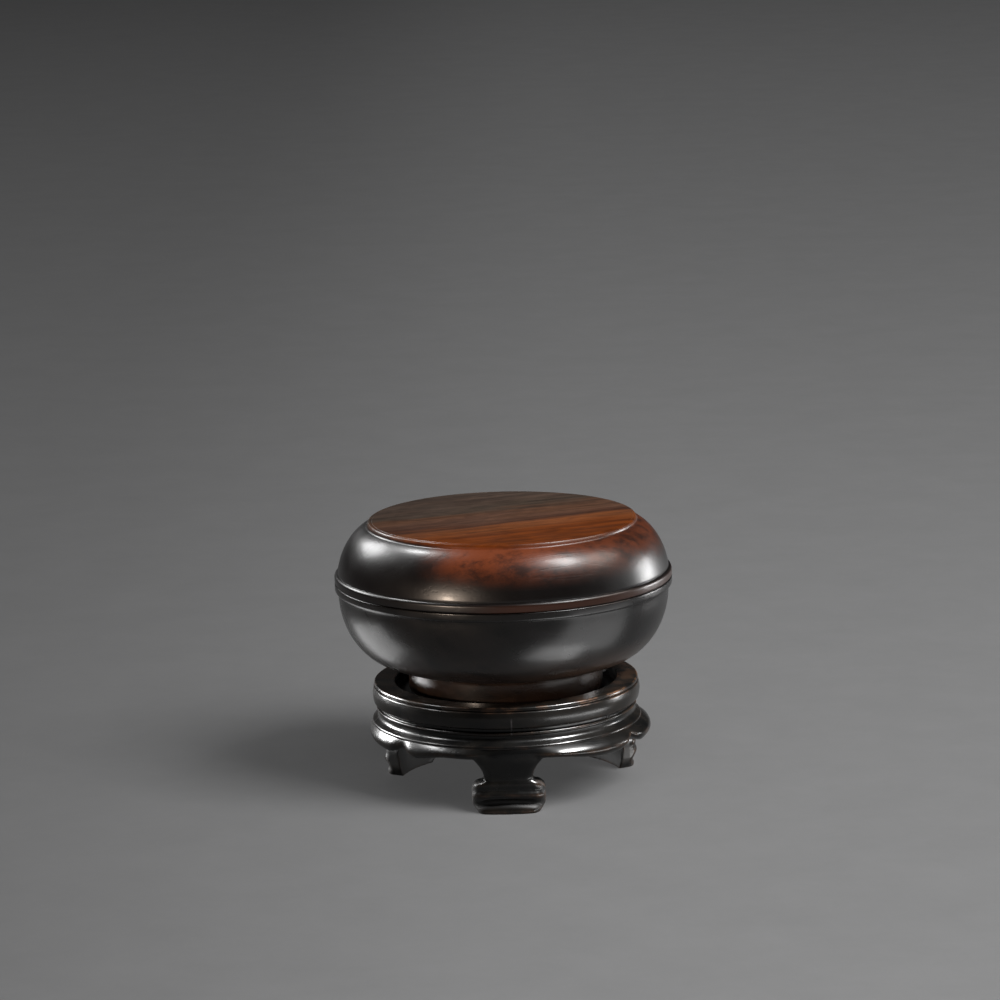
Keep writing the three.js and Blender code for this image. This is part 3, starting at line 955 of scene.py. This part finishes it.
def bowl_finish():
    """Near-black polished wood, browner at the foot ring and low on the right."""
    material, tree, shader, coords = new_material("bowl_wood")
    x, _, z = split(tree, coords)
    figure = along_grain(tree, coords, (20, 160, 120))
    figure = noise(tree, figure, detail=5.0, roughness=0.6, distortion=0.4)
    black = ramp(tree, figure, BOWL_BLACKS)
    low = maths(tree, "MULTIPLY", step(tree, z, *BROWN_HEIGHTS), step(tree, x, *BROWN_LEFT, 0.08, 0.6))
    ring = step(tree, z, UNDERSIDE_Z + 0.5 * MM, UNDERSIDE_Z - 0.6 * MM, 0.0, 0.3)
    brown = maths(tree, "MULTIPLY", maths(tree, "MAXIMUM", low, ring), step(tree, figure, 0.3, 0.6))
    tree.links.new(mix(tree, brown, black, BOWL_BROWN), shader.inputs["Base Color"])
    polished_surface(tree, shader, coords, gloss=0.28, pore_depth=0.3, ior=1.38)
    return material


bowl.data.materials.append(bowl_finish())
print("bowl finish on", bowl.name)

# %% [markdown]
# The stand is black too, but a hundred years of lifting have rubbed its arrises to brown, most of all high
# up on the right. The edge wear that was stored on the mesh, broken up by noise, says where. A pale
# hairline runs down the front, low on the collar and across the waist.

# %% Colour of the stand
STAND_BLACKS = ((0.35, (0.001, 0.001, 0.001)), (0.72, (0.006, 0.005, 0.004)))
RUBBED_BROWN = (0.095, 0.046, 0.023)
RUBBED_WEAR = (0.04, 0.22)
HANDLED_LEFT = (-15 * MM, 18 * MM)
HANDLED_HEIGHTS = (20.5 * MM, 24.5 * MM)
MARK_X = 1.0 * MM
MARK_EDGE = (0.25 * MM, 0.08 * MM)
MARK_FRONT = (-20 * MM, -24 * MM)
MARK_LOW = (18.8 * MM, 19.6 * MM)
MARK_HIGH = (23.5 * MM, 22.2 * MM)
MARK_GREY = (0.020, 0.018, 0.018)


def rubbed_black(tree, coords, x, z):
    """Black wood whose arrises are worn to brown where hands take hold."""
    figure = along_grain(tree, coords, (30, 180, 150))
    figure = noise(tree, figure, detail=5.0, roughness=0.6, distortion=0.4)
    black = ramp(tree, figure, STAND_BLACKS)
    blotch = step(tree, noise(tree, coords, 190.0, detail=5.0, roughness=0.65), 0.42, 0.62)
    rubbed = maths(tree, "MULTIPLY", wear_of(tree, *RUBBED_WEAR), blotch)
    from_left = step(tree, x, *HANDLED_LEFT, 0.3, 1.0)
    from_below = step(tree, z, *HANDLED_HEIGHTS, 0.25, 1.0)
    rubbed = maths(tree, "MULTIPLY", rubbed, maths(tree, "MULTIPLY", from_left, from_below))
    return mix(tree, rubbed, black, RUBBED_BROWN)


def hairline(tree, x, y, z):
    """Mask of the upright mark at the front, between two heights."""
    beside = maths(tree, "ABSOLUTE", maths(tree, "SUBTRACT", x, MARK_X))
    mark = maths(tree, "MULTIPLY", step(tree, beside, *MARK_EDGE), step(tree, y, *MARK_FRONT))
    mark = maths(tree, "MULTIPLY", mark, step(tree, z, *MARK_LOW))
    return maths(tree, "MULTIPLY", mark, step(tree, z, *MARK_HIGH))


# %% [markdown]
# A polishing cloth doesn't get into the seat or behind the apron and legs. Both are found by their
# distance from the axis, and the second also by its height, and are left dull.

# %% Stand finish
HIDDEN_DULL = 0.7
BEHIND_RADII = (29.8 * MM, 31.2 * MM)
SEAT_RADII = (SEAT_R - 0.1 * MM, SEAT_R + 0.3 * MM)


def dull_inside(tree, x, y, z):
    """Roughness of the seat and of the faces behind the apron, 0 elsewhere."""
    radius = maths(tree, "ADD", maths(tree, "POWER", x, 2), maths(tree, "POWER", y, 2))
    radius = maths(tree, "SQRT", radius)
    behind = step(tree, radius, *BEHIND_RADII, HIDDEN_DULL, 0.0)
    under = step(tree, z, APRON_TOP_Z, LEG_HEIGHT)
    seat = step(tree, radius, *SEAT_RADII, HIDDEN_DULL, 0.0)
    return maths(tree, "MAXIMUM", maths(tree, "MULTIPLY", behind, under), seat)


def stand_finish():
    """Black carved wood with its arrises worn to brown and a pale hairline at the front."""
    material, tree, shader, coords = new_material("stand_wood")
    x, y, z = split(tree, coords)
    colour = mix(tree, hairline(tree, x, y, z), rubbed_black(tree, coords, x, z), MARK_GREY)
    tree.links.new(colour, shader.inputs["Base Color"])
    dull = dull_inside(tree, x, y, z)
    polished_surface(tree, shader, coords, gloss=0.25, pore_depth=0.4, dull=dull, ior=1.34)
    return material


stand.data.materials.append(stand_finish())
print("stand finish on", stand.name)

# %% [markdown]
# ## Studio
# The box stands on a plain grey table top that is so wide that no edge of it comes into the picture. Its
# paper has a faint grain, and painted shade darkens it towards the left, where the light falls off.

# %% Table top
TABLE_REACH = 4
PAPER_GREYS = ((0.3, (0.191, 0.191, 0.192)), (0.7, (0.209, 0.209, 0.210)))
# Painted shade: the light's falloff to the left is painted into the paper's colour.
PAINTED_SHADE_LEFT = (-160 * MM, 50 * MM)
PAINTED_SHADE_DEPTH = 0.70


def table_top():
    """Wide flat floor of matt grey paper, with painted shade darkening its left side."""
    bm = bmesh.new()
    bmesh.ops.create_grid(bm, x_segments=1, y_segments=1, size=TABLE_REACH)
    mesh = bpy.data.meshes.new("table_top")
    bm.to_mesh(mesh)
    bm.free()
    floor = bpy.data.objects.new("table_top", mesh)
    bpy.context.scene.collection.objects.link(floor)
    material, tree, shader, coords = new_material("table_top_paper")
    paper = ramp(tree, noise(tree, coords, 40.0, detail=8.0, roughness=0.75), PAPER_GREYS)
    # Painted shade towards the left, scaled into the paper's colour.
    shade = step(tree, split(tree, coords)[0], *PAINTED_SHADE_LEFT, PAINTED_SHADE_DEPTH, 1.0)
    tree.links.new(scaled(tree, paper, shade), shader.inputs["Base Color"])
    shader.inputs["Roughness"].default_value = 0.9
    mesh.materials.append(material)
    return floor


table = table_top()
print("table top", 2 * TABLE_REACH, "m wide")

# %% [markdown]
# Polished black wood is drawn by its highlights, and each piece has its own. Light linking keeps the jobs
# apart: a light can be told which collection it lights and which collection casts its shadow.

# %% Collections for light linking
def collection_of(name, *pieces):
    """Collection that light linking can point at."""
    group = bpy.data.collections.new(name)
    for piece in pieces:
        group.objects.link(piece)
    return group


wooden = collection_of("wooden_pieces", lid, bowl, stand)
the_box = collection_of("the_box", lid, bowl)
the_bowl = collection_of("the_bowl", bowl)
the_stand = collection_of("the_stand", stand)
the_table = collection_of("the_table", table)

# %% [markdown]
# Each soft light is placed by the direction its highlight comes from: an angle round the box from the
# camera's side and an angle above the table, both in degrees, and then a distance and a size in metres.
# The power is in watts.

# %% Soft light
BOX_MIDDLE = Vector((0, 0, 40 * MM))


def soft_light(name, lit, around, above, distance, size, power, tint=(1, 1, 1), shaded_by=wooden):
    """Rectangular soft light aimed at the box, which lights one collection and is shaded by another."""
    light = bpy.data.lights.new(name, "AREA")
    light.shape = "RECTANGLE"
    light.size, light.size_y = size
    light.energy = power
    light.color = tint
    holder = bpy.data.objects.new(name, light)
    a, e = math.radians(around), math.radians(above)
    place = Vector((math.sin(a) * math.cos(e), -math.cos(a) * math.cos(e), math.sin(e))) * distance
    holder.location = BOX_MIDDLE + place
    holder.rotation_euler = (-place).to_track_quat("-Z", "Y").to_euler()
    holder.light_linking.receiver_collection = lit
    holder.light_linking.blocker_collection = shaded_by
    bpy.context.scene.collection.objects.link(holder)
    print("light", name)


# %% [markdown]
# The box takes its long highlights from two sides, with one small warm glint at the front left. The stand
# is lit by lights of its own, low ones for the feet and higher ones for the collar and the apron.

# %% Lights of the box and the stand
soft_light("left_back", the_box, -134, 30, 0.95, (0.36, 0.28), 4.2)
soft_light("left_high", the_box, -128, 55, 0.95, (0.09, 0.13), 3.4)
soft_light("right_high", the_box, 67, 57, 0.95, (0.20, 0.28), 6.8)
soft_light("right_wide", the_box, 92, 42, 0.95, (0.35, 0.30), 2.2, (1.0, 0.84, 0.76))
soft_light("right_low", the_box, 117, 3, 0.95, (0.26, 0.36), 5.2)
soft_light("warm_glint", the_box, -38, 7, 0.95, (0.10, 0.10), 6, (1.0, 0.80, 0.64))
soft_light("stand_left", the_stand, -118, 17, 0.95, (0.42, 0.26), 28)
soft_light("stand_left_high", the_stand, -80, 40, 0.95, (0.18, 0.14), 6)
soft_light("stand_right_high", the_stand, 64, 47, 0.95, (0.24, 0.12), 44)
soft_light("stand_right_low", the_stand, 108, 4, 0.95, (0.12, 0.12), 2.4)
soft_light("stand_left_low", the_stand, -127, 2, 0.95, (0.12, 0.12), 2)

# %% [markdown]
# The table has three lights: a key from the right that lays the soft shadow to the left of the stand and
# behind it, a fill from the front, and a wide one from behind that casts no shadow of the box.

# %% Lights of the table
soft_light("table_key", the_table, 51, 44, 1.2, (0.65, 0.60), 13.6)
soft_light("table_front_fill", the_table, 10, 60, 1.4, (1.2, 1.0), 4.2)
soft_light("table_back_fill", the_table, 140, 62, 3.4, (2.5, 2.5), 40, shaded_by=the_table)

# %% [markdown]
# The lower half of the bowl and the collar look down at the table, yet in the photograph they carry satin
# reflections, which a studio would throw with cards laid in front. Lamps under table height do the same
# here without a card in the picture: they light one piece alone, and the table doesn't stop them.

# %% Card lights
soft_light("card_left", the_bowl, -117, -33, 0.6, (0.42, 0.26), 1.0)
soft_light("card_right", the_bowl, 68, -30, 0.6, (0.50, 0.40), 1.4)
soft_light("card_right_low", the_bowl, 50, -54, 0.6, (0.30, 0.20), 1.0)
soft_light("card_collar", the_stand, 64, -20, 0.6, (0.62, 0.10), 1.8)

# %% [markdown]
# The air around gives next to no light, so that black wood stays black, and the picture is shown with a
# plain view transform, which leaves the colours as they are set.

# %% Studio air
AIR_COLOUR = (0.98, 1.0, 1.04, 1)
AIR_STRENGTH = 0.02

world = bpy.data.worlds.new("studio_air")
world.use_nodes = True
air = world.node_tree.nodes["Background"]
air.inputs["Color"].default_value = AIR_COLOUR
air.inputs["Strength"].default_value = AIR_STRENGTH
bpy.context.scene.world = world
bpy.context.scene.view_settings.view_transform = "Standard"
print("air strength", AIR_STRENGTH)

# %% [markdown]
# ## Camera
# The photograph looks down a little on the box from about a metre away through a long lens, and the
# camera was held slightly askew, so it is rolled by a degree and a half.

# %% Camera
CAMERA_PLACE = Vector((0, -0.9769, 0.2635))
CAMERA_PITCH = 11.288
CAMERA_ROLL = 1.5
CAMERA_PAN = 0.017
LENS = 151.7
SENSOR_WIDTH = 36


def photo_camera():
    """Camera at the photograph's viewing angle."""
    data = bpy.data.cameras.new("photo_camera")
    data.lens = LENS
    data.sensor_width = SENSOR_WIDTH
    holder = bpy.data.objects.new("photo_camera", data)
    tilt = Matrix.Rotation(math.radians(90 - CAMERA_PITCH), 4, "X")
    roll = Matrix.Rotation(math.radians(-CAMERA_ROLL), 4, "Z")
    pan = Matrix.Rotation(math.radians(CAMERA_PAN), 4, "Z")
    holder.matrix_world = Matrix.Translation(CAMERA_PLACE) @ pan @ tilt @ roll
    bpy.context.scene.collection.objects.link(holder)
    bpy.context.scene.camera = holder


photo_camera()
print("camera", round(CAMERA_PLACE.length, 2), "m away, lens", LENS, "mm")
